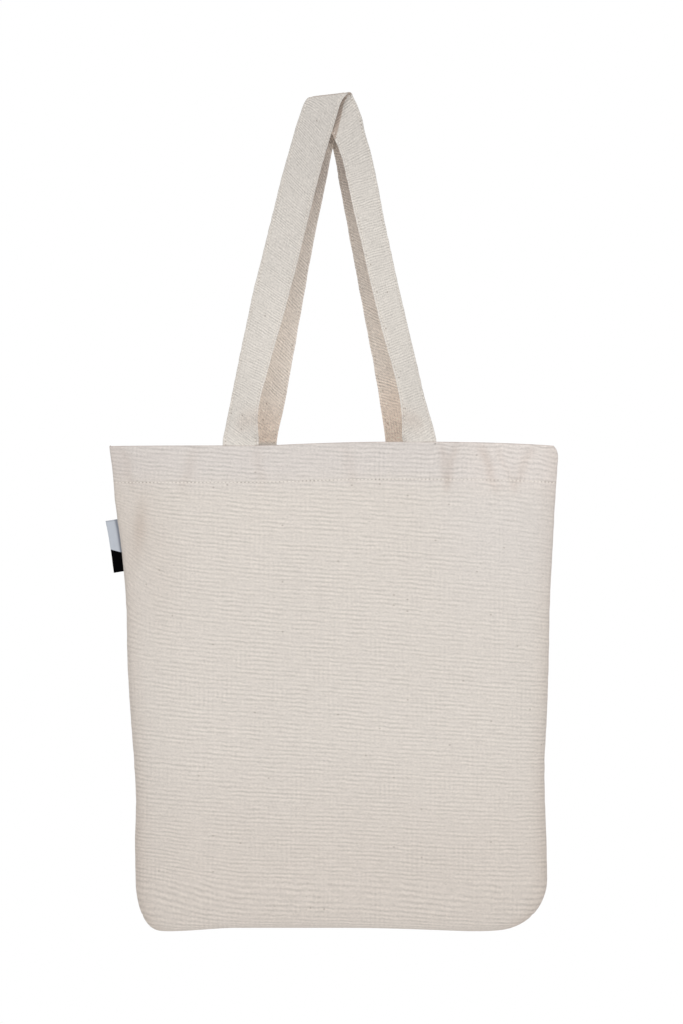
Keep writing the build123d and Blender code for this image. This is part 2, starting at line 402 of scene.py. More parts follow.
def swept_grid(centre, across, profile, scale):
    """A closed profile carried along a path: centre + across * a + normal * n at each point.
    The normal is the path's direction x across. Across may slant over the path, as it does
    at a slanting fold."""
    normal = unit(np.cross(unit(np.gradient(centre, axis=0)), across))
    a = profile[None, :, 0, None] * scale[:, None, None]
    return centre[:, None] + across[:, None] * a + normal[:, None] * profile[None, :, 1, None]


def swept_piece(name, grid, maps=None, masks=None):
    """The closed skin of a swept grid, with its two ends closed."""
    rows, columns = grid.shape[:2]
    low = np.arange(columns // 2 - 1)
    cap = np.stack((low, low + 1, columns - 2 - low, columns - 1 - low), axis=-1)
    quads = grid_quads(rows, columns, wrap=True)
    quads = np.concatenate((quads, cap, cap[:, ::-1] + (rows - 1) * columns))
    masks = spread(masks, grid)
    return new_piece(name, grid.reshape(-1, 3), quads, maps, masks)


def stitches_piece(name, rows, sizes):
    """One short thread per stitch of the rows: a six-sided tube that rises from the cloth and
    dips back, by the fourth power of the share of its half length."""
    places, along, up = (np.concatenate(part) for part in zip(*rows))
    t = np.linspace(-1, 1, 5)
    turn = np.arange(6) * np.pi / 3
    radius = sizes.thread / 2 * np.sqrt(1 - 0.75 * t**4)
    lift = sizes.thread * (0.15 - 0.75 * t**4)
    x = np.broadcast_to(t[:, None] * sizes.stitch / 2, (5, 6))
    y = radius[:, None] * np.cos(turn)
    z = lift[:, None] + radius[:, None] * np.sin(turn)
    shape = np.stack((x, y, z), axis=-1).reshape(-1, 3)
    cap = np.array(((0, 1, 2, 3), (0, 3, 4, 5)))
    quads = np.concatenate((grid_quads(5, 6, wrap=True)[:, ::-1], cap[:, ::-1], cap + 24))
    along = unit(along)
    up = unit(up - (up * along).sum(1, keepdims=True) * along)
    axes = np.stack((along, np.cross(up, along), up), axis=1)
    points = places[:, None] + np.einsum("vk,pkc->pvc", shape, axes)
    faces = quads[None] + (np.arange(len(places)) * len(shape))[:, None, None]
    return new_piece(name, points.reshape(-1, 3), faces.reshape(-1, 4))


def tube_piece(name, path, up, thickness):
    """A round thread along a path of points."""
    turn = np.arange(6) * np.pi / 3
    profile = np.stack((-np.cos(turn), np.sin(turn)), axis=1) * thickness / 2
    across = unit(np.cross(up, unit(np.gradient(path, axis=0))))
    return swept_piece(name, swept_grid(path, across, profile, np.ones(len(path))))


# Shape of the body

def outline_rows(drop):
    """Outline values at a distance down the cloth from the mouth: straight down the wall, a
    quarter ellipse round the bottom edge, then in along the base to its seam."""
    turn = np.clip((drop - WALL) / BEND_LENGTH, 0, 1) * np.pi / 2
    sunk = 1 - np.cos(turn)
    height = np.where(drop < WALL, BAG_HEIGHT - drop, CORNER_HEIGHT * (1 - np.sin(turn)))
    level = smooth_between(LEVELS[:, 0], LEVELS[:, 1:], np.maximum(height, CORNER_HEIGHT))
    left, right, half, radius = np.moveaxis(level, -1, 0)
    return {
        "height": height,
        "left": left + LEFT_RUN * sunk,
        "right": right - RIGHT_RUN * sunk,
        "half": half - BASE_ROUNDING * sunk,
        "radius": radius - BASE_ROUNDING / 2 * sunk,
        "turn": turn,
        "flatten": np.clip((drop - WALL - BEND_LENGTH) / BASE_HALF, 0, 1),
    }


def section(across, rows, inset):
    """Half an outline: flat in the middle, then an arc that starts level and ends on the
    tangent of the end's circle, then that circle to mid depth. across is 0 at the left seam
    and 1 at the right one. Returns x and the depth from the middle plane."""
    q = 2 * across - 1
    hand = np.sign(q)
    share = np.abs(q)
    half = rows["half"] - inset
    radius = np.maximum(rows["radius"] - inset, LEAST_RADIUS)
    end = np.where(hand < 0, MIDDLE_X - rows["left"], rows["right"] - MIDDLE_X) - inset
    centre = end - radius
    slope = np.zeros_like(centre)
    for _ in range(8):
        run = centre + radius * np.sin(slope) - FLAT_HALF
        slope = 2 * np.arctan2(half - radius * np.cos(slope), run)
    swing = (centre + radius * np.sin(slope) - FLAT_HALF) / np.sin(slope)
    arc = slope * np.clip((share - FLAT_SHARE) / (ARC_SHARE - FLAT_SHARE), 0, 1)
    arc_x = FLAT_HALF + swing * np.sin(arc)
    arc_depth = half - swing * (1 - np.cos(arc))
    angle = slope + (np.pi / 2 - slope) * np.clip((share - ARC_SHARE) / (1 - ARC_SHARE), 0, 1)
    stretches = (share < FLAT_SHARE, share < ARC_SHARE)
    flat_x = share / FLAT_SHARE * FLAT_HALF
    x = np.select(stretches, (flat_x, arc_x), centre + radius * np.sin(angle))
    depth = np.select(stretches, (half, arc_depth), radius * np.cos(angle))
    return MIDDLE_X + hand * x, depth


def puckers(x, drop):
    """Sum of the hem's puckers, each a bell curve across whose middle leans and wavers on its
    way down."""
    total = 0.0
    for place, width, amount, slant in PUCKERS:
        waver = 0.0007 * np.sin(drop / 0.0035 + place * 300)
        total = total + amount * hump(x - place - slant * (drop - 0.016) - waver, width)
    return total


def slack(side, x, z, drop, rows, sizes):
    """How far the cloth stands out from its smooth form: long waves in the middle, a ridge
    under each strap, folds that run out and down from the straps, and puckers in the hem."""
    from_left, from_right = x - rows["left"], rows["right"] - x
    inside = step(from_left, 0, 0.05) * step(from_right, 0, 0.05)
    held = step(drop, 0.01, 0.10) * step(drop, CLOTH_LENGTH - 0.02, CLOTH_LENGTH - 0.09)
    wave = waves(x, z, 11 + side, 9, 0.07, 0.23)
    wave = wave + 0.16 * waves(x, z * 0.6, 31 + side, 14, 0.016, 0.05)
    out = sizes.ripple * inside * held * wave
    below = sizes.pull * hump(drop - 0.085, 0.07) * step(drop, sizes.hem, sizes.hem + 0.03)
    for hand, _ in HANDS:
        away = x - FEET[side, hand]
        fold = away * hand - 0.016 - 0.42 * (drop - sizes.hem)
        out = out + below * (hump(away - 0.004 * hand, 0.013) + 0.5 * hump(fold, 0.016) * inside)
    fade = step(drop, 0, 0.008) * step(drop, 0.060, 0.026)
    out = out - sizes.pucker * fade * puckers(x * -side, drop)
    crumple = waves(x, z * 0.2, 51 + side, 12, 0.009, 0.03) * step(drop, 0.05, 0.03)
    out = out + 0.22 * sizes.pucker * crumple
    row = hump(drop - sizes.hem, 0.0016) * step(from_left, 0, 0.006) * step(from_right, 0, 0.006)
    return out - 0.00030 * row


def body_points(side, across, drop, sizes, inset=0.0):
    """The bag's skin, or a surface this far inside it. Adds to the outlines the mouth's line,
    the arched base, the slack, and the valleys where seams pull the cloth in."""
    across, drop = np.broadcast_arrays(across, drop)
    rows = outline_rows(drop)
    turn, height = rows["turn"], rows["height"]
    x, depth = section(across, rows, inset)
    x = MIDDLE_X + (x - MIDDLE_X) * (1 - 0.05 * rows["flatten"])
    depth = depth * (1 - rows["flatten"])
    wall = np.clip(1 - drop / WALL, 0, 1)
    z = BASE_Z + height + smooth_between(MOUTH_EDGE[:, 0], MOUTH_EDGE[:, 1], x) * wall**2
    arch = step(x, -0.152, -0.080) * step(x, 0.178, 0.013)
    z = z + sizes.arch * arch * step(height, 0.12, 0)
    out = slack(side, x, z, drop, rows, sizes)
    nip = 0.00012 * waves(z, z * 0.1, 71 + side, 10, 0.008, 0.022) * step(depth, 0.012, 0)
    depth = depth + out * step(depth, 0, 0.008) * np.cos(turn)
    seam = sizes.valley * hump(depth, 0.0011)
    cross = hump((turn - np.pi / 4) * 0.040, 0.0012) * step(depth, 0.015, 0.011)
    cross = 0.6 * sizes.valley * cross * step(np.abs(2 * across - 1), 0.80, 0.88)
    pinch = seam + cross + nip * step(z, BASE_Z, BASE_Z + 0.05)
    x = x - np.sign(across - 0.5) * pinch * np.cos(turn)
    z = z + (pinch + inset) * np.sin(turn)
    return np.stack((x, side * depth, z), axis=-1)


def cloth_steps():
    """Grid steps of a panel, finer at its seams, its hem row and the cross seams."""
    end, flat = (1 - ARC_SHARE) / 2, (1 - FLAT_SHARE) / 2
    seam = np.array((
        0, 0.012, 0.024, 0.038, 0.056, 0.08, 0.115, 0.16, 0.22, 0.3, 0.39, 0.49, 0.6, 0.72, 0.85,
    ))
    left = np.concatenate((end * seam, np.linspace(end, flat, 32), np.linspace(flat, 0.5, 44)))
    left = np.unique(np.round(left, 7))
    rim = (0, 0.0002, 0.0005, 0.0009, 0.0015, 0.003)
    hem = np.concatenate((np.linspace(0.0055, 0.0275, 10), np.linspace(0.029, 0.035, 9)))
    bend = np.concatenate((np.linspace(0, 1, 17), np.linspace(0.43, 0.57, 9)))
    base = np.array((0.12, 0.26, 0.42, 0.58, 0.72, 0.83, 0.89, 0.93, 0.96, 0.98, 0.997))
    bottom = (WALL + BEND_LENGTH * bend, WALL + BEND_LENGTH + BASE_HALF * base)
    drop = np.concatenate((rim, hem, np.linspace(0.036, WALL, 132), *bottom))
    return np.concatenate((left, (1 - left[:-1])[::-1])), np.unique(np.round(drop, 7))


def weave_lean(x, drop):
    """How far the weft rows run down to the right: steep by the left seam and in a band
    near the lower left, less so along the right of the hem, where they also waver, and near
    the base."""
    steep = -0.017 * np.exp(-(x + 0.182) / 0.020) * hump(drop - 0.103, 0.048)
    gentle = (0.078 - 0.038 * step(drop, 0.20, 0.36)) * (x + 0.05)
    hem = -0.009 * step(x, 0.005, 0.190) * step(drop, 0.085, 0)
    lower = -0.0115 * step(x, -0.080, -0.165) * hump(drop - 0.378, 0.042)
    waver = 0.0010 * waves(x, drop * 0.5, 61, 10, 0.009, 0.026)
    return steep + gentle + hem + lower + waver * step(x, 0.06, 0.10) * step(drop, 0.046, 0.030)


def panel_masks(side, x, drop, sizes):
    """Masks of a panel. Painted shade makes it dimmer in the hem's puckers, in a soft fold
    below the hem by the left seam, where the cloth turns away towards both side seams, and
    near the base. Its hem is dimmer too except at its right end. Its rows are calmer below
    the hem near both seams. Its hem and a patch below it on the right are cooler, and the
    hem's right end is paler. A thin line of painted shade runs along the mouth's turned edge."""
    rows = outline_rows(drop)
    left, right = (rows["left"], rows["right"]) if side < 0 else (-rows["right"], -rows["left"])
    from_left, from_right = x - left, right - x
    # Painted shade towards the base and in the hem's puckers
    dim = 0.30 * step(drop, 0.23, 0.39)
    dim = dim + 0.56 * puckers(x, drop) * step(drop, -0.004, 0.010) * step(drop, 0.050, 0.028)
    dim = dim + 0.18 * step(drop, 0.046, 0.016) * step(x, 0.15, 0.10)
    # Painted shade in a soft fold below the hem by the left seam, where the cloth turns away at the
    # side seams, and by the left seam near the tag
    fold = from_left - 0.0195 + 0.20 * (drop - 0.070)
    dim = dim + 0.75 * hump(fold, 0.0060) * hump(drop - 0.072, 0.024)
    dim = dim + 0.36 * step(np.minimum(from_left, from_right), 0.020, 0)
    dim = dim + 0.22 * hump(from_left - 0.03, 0.02) * hump(drop - 0.09, 0.07)
    calm = 0.55 * step(from_left, 0.053, 0.008) * hump(drop - 0.10, 0.11)
    calm = calm + 0.35 * step(from_left, 0.255, 0.315) * hump(drop - 0.085, 0.075)
    cool = 0.55 * step(from_left, 0.24, 0.32) * hump(drop - 0.07, 0.07)
    return {
        # A thin line of painted shade along the mouth's turned edge
        "painted_shade": 0.0005 * np.clip(1 - drop / (sizes.cloth * 1.3), 0, 1),
        "dim": dim,
        "calm": calm,
        "cool": cool + step(drop, 0.046, 0.016),
        "shade": 0.12 * step(from_left, 0.285, 0.325) * step(drop, 0.05, 0.03),
    }


def row_inset(sizes):
    """Depth of the facing's inside face below the panel's skin."""
    return 2 * sizes.cloth + 3 * sizes.gap


def stitch_count(run, pitch):
    """Stitches counted along a line, at distances that end with its length."""
    return run / run[-1] * int(run[-1] / pitch)


# Materials

class Wire:
    """An output in a node tree. Arithmetic on it adds Math nodes and gives their outputs."""

    def __init__(self, socket):
        self.socket = socket
        self.tree = socket.id_data

    def output(self, which):
        """Another output of the same node."""
        return Wire(self.socket.node.outputs[which])

    def calc(self, operation, *values):
        """A Math node on this value and others."""
        inputs = dict(enumerate((self, *values)))
        return make(self.tree, "ShaderNodeMath", inputs, operation=operation)

    def __rsub__(self, other):
        return self.calc("MULTIPLY_ADD", -1.0, other)

    __add__ = partialmethod(calc, "ADD")
    __sub__ = partialmethod(calc, "SUBTRACT")
    __mul__ = partialmethod(calc, "MULTIPLY")
    __truediv__ = partialmethod(calc, "DIVIDE")
    __pow__ = partialmethod(calc, "POWER")
    __abs__ = partialmethod(calc, "ABSOLUTE")


def plug(slot, value):
    """Gives an input a wire or a plain value."""
    if isinstance(value, Wire):
        value.tree.links.new(value.socket, slot)
    else:
        slot.default_value = value


def make(tree, kind, inputs=None, output=0, **settings):
    """Adds a node with its settings and inputs; returns one of its outputs as a wire."""
    node = tree.nodes.new(kind)
    for word, value in settings.items():
        setattr(node, word, value)
    for word, value in (inputs or {}).items():
        plug(node.inputs[word], value)
    return Wire(node.outputs[output])


def vector(operation, first, second):
    """A Vector Math node on a wire and a second value."""
    return make(first.tree, "ShaderNodeVectorMath", {0: first, 1: second}, operation=operation)


def scaled(tree, colour, tone):
    """A colour, wire or plain, times a tone."""
    return make(tree, "ShaderNodeVectorMath", {0: colour, "Scale": tone}, operation="SCALE")


def split(wire):
    """The first two coordinates of a vector."""
    first = make(wire.tree, "ShaderNodeSeparateXYZ", {0: wire})
    return first, first.output(1)


def noise(place, scale, detail=2.0, rough=0.5):
    """Noise value at a scale per metre, or at one for each axis."""
    if isinstance(scale, tuple):
        place, scale = vector("MULTIPLY", place, scale), 1.0
    inputs = {"Vector": place, "Scale": scale, "Detail": detail, "Roughness": rough}
    return make(place.tree, "ShaderNodeTexNoise", inputs)


def ramp(value, low, high, start=0.0, end=1.0):
    """Smooth step from start to end as the value goes from low to high."""
    inputs = {"Value": value, "From Min": low, "From Max": high, "To Min": start, "To Max": end}
    return make(value.tree, "ShaderNodeMapRange", inputs, interpolation_type="SMOOTHSTEP")


def centred(value):
    """A 0 to 1 value as -1 to 1."""
    return value * 2.0 - 1.0


def half_turns(value, pitch):
    """The sine of half a turn a pitch."""
    return (value / pitch * np.pi).calc("SINE")


def ridges(value, pitch):
    """Round ridges with narrower lines between: 1.5 * |sin|^1.4 - 0.9 of half a turn a pitch."""
    return abs(half_turns(value, pitch)) ** 1.4 * 1.5 - 0.9


def mixed(blend, share, first, second):
    """A Mix node on colours; second is a wire or a plain colour."""
    inputs = {0: share, 6: first, 7: second}
    return make(share.tree, "ShaderNodeMix", inputs, 2, data_type="RGBA", blend_type=blend)


def new_group(name, inputs, outputs):
    """A node group with named inputs, given by their defaults: none for a vector, a number,
    or a colour. An output named Color is a colour, and the others are numbers."""
    tree = bpy.data.node_groups.new(name, "ShaderNodeTree")
    kinds = {type(None): "Vector", float: "Float", tuple: "Color"}
    for word, default in inputs.items():
        kind = f"NodeSocket{kinds[type(default)]}"
        socket = tree.interface.new_socket(word, in_out="INPUT", socket_type=kind)
        if default is not None:
            socket.default_value = default
    for word in outputs:
        kind = "NodeSocketColor" if word == "Color" else "NodeSocketFloat"
        tree.interface.new_socket(word, in_out="OUTPUT", socket_type=kind)
    outputs = tree.nodes.new("NodeGroupInput").outputs
    given = {word: Wire(outputs[word]) for word in inputs}
    return tree, given, tree.nodes.new("NodeGroupOutput").inputs


def canvas_group():
    """Plain-woven cotton canvas: yarns that cross over and under, thicker weft rows that come
    and go, fainter warp rows, uneven yarn, soft patches of tone, and seed specks."""
    tree, given, wanted = new_group(
        "woven_canvas",
        {
            "Cloth": None,
            "Colour": (0.7, 0.65, 0.6, 1),
            "Fleck colour": (0.2, 0.15, 0.1, 1),
            "Yarn": 0.0006,
            "Rib": 0.0034,
            "Rib depth": 0.08,
            "Row share": 0.8,
            "Flecks": 1.0,
        },
        ("Color", "Roughness", "Height"),
    )
    cloth, rib, yarn = given["Cloth"], given["Rib"], given["Yarn"]
    drift = vector("SUBTRACT", noise(cloth, 17.0).output("Color"), (0.5, 0.5, 0.5))
    place = vector("ADD", cloth, vector("MULTIPLY", drift, (0.003, 0.0024, 0.0)))
    wander = centred(noise(cloth, (70.0, 110.0, 1.0))) * 0.0013
    place = vector("ADD", place, make(tree, "ShaderNodeCombineXYZ", {1: wander}))
    x, y = split(place)
    # Thicker weft rows with narrow dark lines between, and fainter warp rows
    there = noise(place, (38.0, 95.0, 1.0), 3.0)
    row = ridges(y, rib) * ramp(there, 0.36, 0.62, 0.25, 1.05)
    patch = noise(place, (40.0, 30.0, 1.0), 3.0)
    column = ridges(x, rib * 1.06) * ramp(patch, 0.48, 0.70, 0.08, 0.46)
    streak = centred(noise(place, (95.0, 760.0, 1.0), 3.0, 0.6))
    grain = centred(noise(place, (520.0, 640.0, 1.0), 3.0, 0.75))
    weave = half_turns(x, yarn) * half_turns(y, yarn)
    # Tone
    tone = noise(cloth, 9.0, 3.0) * 0.05 + 0.925 + noise(cloth, 130.0) * 0.10
    change = row * given["Row share"] + column * 0.50 + streak * 0.65 + grain * 1.45 + weave * 0.36
    toned = scaled(tree, given["Colour"], change * given["Rib depth"] + tone)
    # Seed specks: a few of the cells of a cellular pattern hold one
    specks = []
    stretched = vector("MULTIPLY", cloth, (0.8, 1.15, 1.0))
    for scale, share, size in ((105.0, 0.040, 0.048), (230.0, 0.045, 0.070)):
        inputs = {"Vector": stretched, "Scale": scale}
        cell = make(tree, "ShaderNodeTexVoronoi", inputs, voronoi_dimensions="2D")
        lot = make(tree, "ShaderNodeSeparateColor", {0: cell.output("Color")})
        specks.append(lot.calc("LESS_THAN", share) * ramp(cell, size, size * 1.9, 1.0, 0.0))
    speck = specks[0].calc("MAXIMUM", specks[1] * 0.5) * 0.60 * given["Flecks"]
    plug(wanted["Color"], mixed("MIX", speck, toned, given["Fleck colour"]))
    plug(wanted["Roughness"], streak * 0.05 + 0.90)
    plug(wanted["Height"], weave * 0.22 + row * 0.30 + streak * 0.30 + grain * 0.25)
    return tree


def stitch_group():
    """Where a needle went in, and the groove that a row of stitches pulls. The first value
    of the map counts stitches along the row, and the second is the distance from it."""
    inputs = {"Stitch": None, "Pitch": 0.0033}
    tree, given, wanted = new_group("stitch_row", inputs, ("Hole", "Groove"))
    count, off = split(given["Stitch"])
    along = (0.5 - abs(count.calc("FRACT") - 0.5)) * given["Pitch"]
    away = (along**2.0 + off**2.0).calc("SQRT")
    tight = noise(given["Stitch"], (0.16, 1.0, 0.0), 3.0)
    hole = ramp(away, 0.0003, 0.0008, 1.0, 0.0) * ramp(tight, 0.40, 0.66, 0.10, 1.0)
    plug(wanted["Hole"], hole)
    plug(wanted["Groove"], ramp(abs(off), 0.0004, 0.0013, 1.0, 0.0))
    return tree


def new_tree(name):
    """The node tree of a new material."""
    material = bpy.data.materials.new(name)
    material.use_nodes = True
    return material.node_tree


def set_shader(tree, values):
    """Gives a material's Principled shader its values; returns its output."""
    shader = tree.nodes["Principled BSDF"]
    for word, value in values.items():
        plug(shader.inputs[word], value)
    return Wire(shader.outputs[0])


def mask(tree, name):
    """One of the piece's masks."""
    return make(tree, "ShaderNodeAttribute", output="Fac", attribute_name=name)


def uv_map(tree, name):
    """One of the piece's maps."""
    return make(tree, "ShaderNodeUVMap", uv_map=name)


def relief(strength, distance, height):
    """A Bump node on a height."""
    inputs = {"Strength": strength, "Distance": distance, "Height": height}
    return make(height.tree, "ShaderNodeBump", inputs)


def canvas_material(name, scene):
    """Canvas that follows the piece's own cloth map, with the needle's holes along its rows.
    The mask named shade makes it paler and warmer and deepens its rows; on a strap's inward
    face this is painted light. Calm hides its rows. Dim makes it darker, mostly as painted
    shade, and the lapped mask paints darker shade where it is above 0. Cool takes away a
    little of its warmth. The needle's holes and the groove along a stitched row are darkened
    as painted shade."""
    sizes, colours = scene.tote_sizes, scene.tote_colours
    colour, rib, depth, share, flecks, dimmed = CLOTHS[name]
    tree = new_tree(name)
    groups = bpy.data.node_groups
    shade = mask(tree, "shade")
    cloth = make(tree, "ShaderNodeGroup", {
        "Cloth": uv_map(tree, "cloth"),
        "Colour": (*getattr(colours, colour), 1),
        "Fleck colour": (*colours.fleck, 1),
        "Yarn": sizes.yarn,
        "Rib": getattr(sizes, rib),
        "Rib depth": shade * 0.19 + depth,
        "Row share": (1.0 - mask(tree, "calm")) * share,
        "Flecks": flecks,
    }, node_tree=groups.get("woven_canvas") or canvas_group())
    row = groups.get("stitch_row") or stitch_group()
    hole = make(tree, "ShaderNodeGroup", {"Stitch": uv_map(tree, "stitch")}, node_tree=row)
    tint = cloth
    # Tints: painted light on a strap's inward face, painted shade where dimmed, in the narrow strip
    # and lines of darker shade, and in the needle's holes and the stitches' groove
    for part, multiplier in (
        (shade, (1.34, 1.22, 1.14, 1)),
        (mask(tree, "dim"), dimmed),
        (ramp(mask(tree, "painted_shade"), 0.0, 0.0008), (0.70, 0.62, 0.575, 1)),
        (mask(tree, "cool"), (1.0, 1.015, 1.05, 1)),
        (hole.output("Groove"), (0.985, 0.98, 0.975, 1)),
        (hole, (0.66, 0.63, 0.61, 1)),
    ):
        tint = mixed("MULTIPLY", part, tint, multiplier)
    set_shader(tree, {
        "Base Color": tint,
        "Roughness": cloth.output("Roughness"),
        "Specular IOR Level": 0.15,
        "Normal": relief(1.0, 0.00016, cloth.output("Height") - hole * 1.2),
    })


def thread_material(name, scene):
    """Twisted cotton thread: fine stripes by object coordinates, and soft tone."""
    tree = new_tree(name)
    place = make(tree, "ShaderNodeTexCoord", output="Object")
    twist = noise(place, (3200.0, 900.0, 3200.0))
    set_shader(tree, {
        "Base Color": scaled(tree, scene.tote_colours.thread, ramp(twist, 0.3, 0.7, 0.86, 1.05)),
        "Roughness": ramp(twist, 0.2, 0.8, 0.65, 0.8),
        "Normal": relief(0.6, 0.00008, twist),
    })


def tag_material(name, scene):
    """Satin tape in two plain tones, with fine cross yarns, and a darker line of painted shade
    by the seam and along its top edge.
    """
    colours = scene.tote_colours
    tree = new_tree(name)
    cloth = uv_map(tree, "cloth")
    out, up = split(cloth)
    dark = ramp(up - out * 0.449, -0.0002, 0.0002, 1.0, 0.0)
    grain = noise(cloth, (900.0, 3600.0, 1.0))
    pale = scaled(tree, colours.tag_pale, grain * 0.16 + 0.92)
    # Painted shade along the line that the shade mask marks by the seam and at the top edge
    pale = mixed("MULTIPLY", mask(tree, "shade"), pale, (0.42, 0.43, 0.46, 1))
    set_shader(tree, {
        "Base Color": mixed("MIX", dark, pale, (*colours.tag_dark, 1)),
        "Roughness": ramp(grain, 0.2, 0.8, 0.55, 0.7),
        "Specular IOR Level": 0.008,
        "Normal": relief(0.5, 0.00006, grain),
    })


def dress(piece, material, slot, *nodes, body="bag"):
    """Gives a piece its material, made the first time it is asked for, hides the nodes it
    replaces, and attaches it to its body if it has one. Its slot argument is not used."""
    if material not in bpy.data.materials:
        builders = {"sewing_thread": thread_material, "two_tone_tape": tag_material}
        builders.get(material, canvas_material)(material, bpy.context.scene)
    piece.data.materials.append(bpy.data.materials[material])
    if body:
        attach(piece, body)
    if nodes:
        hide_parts(*nodes)


# Pieces

def sewn_maps(side, grid, across, drop, inset, sizes):
    """Cloth and stitch maps of a panel or facing. The cloth's is the distance along each row
    from its middle, and up; the stitches' counts them along the hem row, and down from it."""
    steps = np.linalg.norm(np.diff(grid, axis=1), axis=2)
    along = np.concatenate((np.zeros((len(grid), 1)), np.cumsum(steps, axis=1)), axis=1)
    along = along - along[:, [len(across) // 2]]
    down = np.broadcast_to(drop[:, None], along.shape)
    run = distances(body_points(side, HEM_SHARES, sizes.hem, sizes, inset))
    beat = np.interp(across, HEM_SHARES, stitch_count(run, sizes.pitch))
    stitch = (np.broadcast_to(beat, down.shape), down - sizes.hem)
    return np.stack((along, -down), axis=-1), np.stack(stitch, axis=-1)


def make_panel(side, word, sizes):
    """Front or back panel, from the mouth's edge to the base seam."""
    across, drop = cloth_steps()
    grid = body_points(side, across, drop[:, None], sizes)
    turned = np.clip(1 - drop / sizes.cloth, 0, 1)
    grid[..., 1] -= side * (sizes.cloth * 0.8 * (1 - np.sqrt(1 - turned**2)))[:, None]
    cloth, stitch = sewn_maps(side, grid, across, drop, 0.0, sizes)
    cloth[..., 1] += weave_lean(cloth[..., 0] * -side, drop[:, None])
    masks = panel_masks(side, grid[..., 0] * -side, drop[:, None], sizes)
    piece = sheet_piece(f"{word}_cloth", grid, sizes.cloth, cloth, -side, stitch, masks)
    dress(piece, "undyed_canvas", "canvas", f"{word}_panel")
    return piece


def make_lining(side, word, sizes):
    """Facing inside the mouth, which steps over the two strap ends."""
    across = np.unique(np.concatenate((cloth_steps()[0], np.linspace(0.18, 0.82, 260))))
    drop = np.concatenate(((0, 0.0003, 0.0008), np.linspace(0.002, sizes.facing, 22)))
    middle = body_points(side, across, 0.01, sizes)[:, 0]
    away = [np.abs(middle - FEET[side, hand]) - sizes.strap / 2 for hand, _ in HANDS]
    raised = step(np.minimum(*away), 0.0028, 0.0006)
    inset = sizes.cloth + 2 * sizes.gap + (sizes.strap_layers + sizes.gap) * raised
    grid = body_points(side, across, drop[:, None], sizes, inset)
    cloth, stitch = sewn_maps(side, grid, across, drop, row_inset(sizes), sizes)
    piece = sheet_piece(f"{word}_lining", grid, sizes.cloth, cloth, -side, stitch)
    dress(piece, "undyed_canvas", "canvas", f"{word}_facing")
    return piece


def make_allowance(name, line, inward, width, sizes, seed):
    """Overlocked seam allowance: a strip that stands in from the seam and waves a little,
    and the thread that zigzags over its edge."""
    run = distances(line)
    reach = np.linspace(0, width, 9)
    sway = 0.0016 * waves(run, run * 0, seed, 8, 0.02, 0.08)
    beside = np.cross(unit(np.gradient(line, axis=0)), inward)
    grid = line[:, None] + inward[:, None] * reach[:, None]
    grid = grid + beside[:, None] * (sway[:, None] * (reach / width) ** 1.5)[..., None]
    grid = grid + grid_normals(grid) * sizes.cloth * 0.9
    cloth = np.stack(np.broadcast_arrays(run[:, None], reach), axis=-1)
    strip = sheet_piece(f"{name}_allowance", grid, sizes.cloth * 1.8, cloth, 1)
    dress(strip, "undyed_canvas", "canvas", f"{name}_seam")
    at = np.linspace(0.001, run[-1] - 0.001, int(2 * run[-1] / OVERLOCK_PITCH) * 4)
    phase = at / OVERLOCK_PITCH * 2 * np.pi
    rise = along_line(at, run, inward)
    up = width - 0.0022 + OVERLOCK_WIDTH * np.clip(1.6 * np.cos(phase), -1, 1)
    aside = np.interp(at, run, sway) + OVERLOCK_SWING * np.sin(phase)
    path = along_line(at, run, line) + rise * up[:, None]
    path = path + along_line(at, run, beside) * aside[:, None]
    thread = tube_piece(f"{name}_overlock", path, rise, sizes.thread)
    dress(thread, "sewing_thread", "canvas")
    return [strip, thread]


def make_seams(sizes):
    """The five seam allowances inside the bag."""
    made = []
    inset = sizes.cloth + INSIDE_GAP
    drop = np.linspace(sizes.facing + 0.0012, WALL + BEND_LENGTH / 2 - 0.004, 240)
    turn = outline_rows(drop)["turn"]
    for hand, word in HANDS:
        line = body_points(-1, (hand + 1) / 2, drop, sizes, inset)
        inward = np.stack((-hand * np.cos(turn), 0 * turn, np.sin(turn)), axis=1)
        made += make_allowance(f"{word}_side", line, inward, sizes.allowance, sizes, 5 + hand)
    low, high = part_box("base_seam")
    across = np.linspace(0, 1, 400)
    edge = body_points(-1, across, CLOTH_LENGTH - 0.0002, sizes, inset)
    x = np.linspace(low.x + 0.004, high.x - 0.004, 240)
    x = x[(x > edge[0, 0] + 0.001) & (x < edge[-1, 0] - 0.001)]
    line = np.stack((x, 0 * x, np.interp(x, edge[:, 0], edge[:, 2])), axis=1)
    inward = np.broadcast_to((0.0, 0.0, 1.0), line.shape)
    made += make_allowance("base", line, inward, sizes.allowance, sizes, 9)
    for hand, word in HANDS:
        low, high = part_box(f"{word}_corner_seam")
        wide, tall = high.x - low.x, high.z - low.z
        half = (high.y - low.y) / 2 - 0.0032
        inward = unit(np.array((-hand * wide, 0.0, tall)))
        foot = np.array((low.x if hand < 0 else high.x, 0.0, low.z)) + inward * 0.0062
        line = foot + np.linspace(-half, half, 24)[:, None] * (0.0, 1.0, 0.0)
        inward = np.broadcast_to(inward, line.shape)
        width = float(np.hypot(wide, tall)) - 0.0036
        made += make_allowance(f"{word}_corner", line, inward, width, sizes, 13 + hand)
    return made


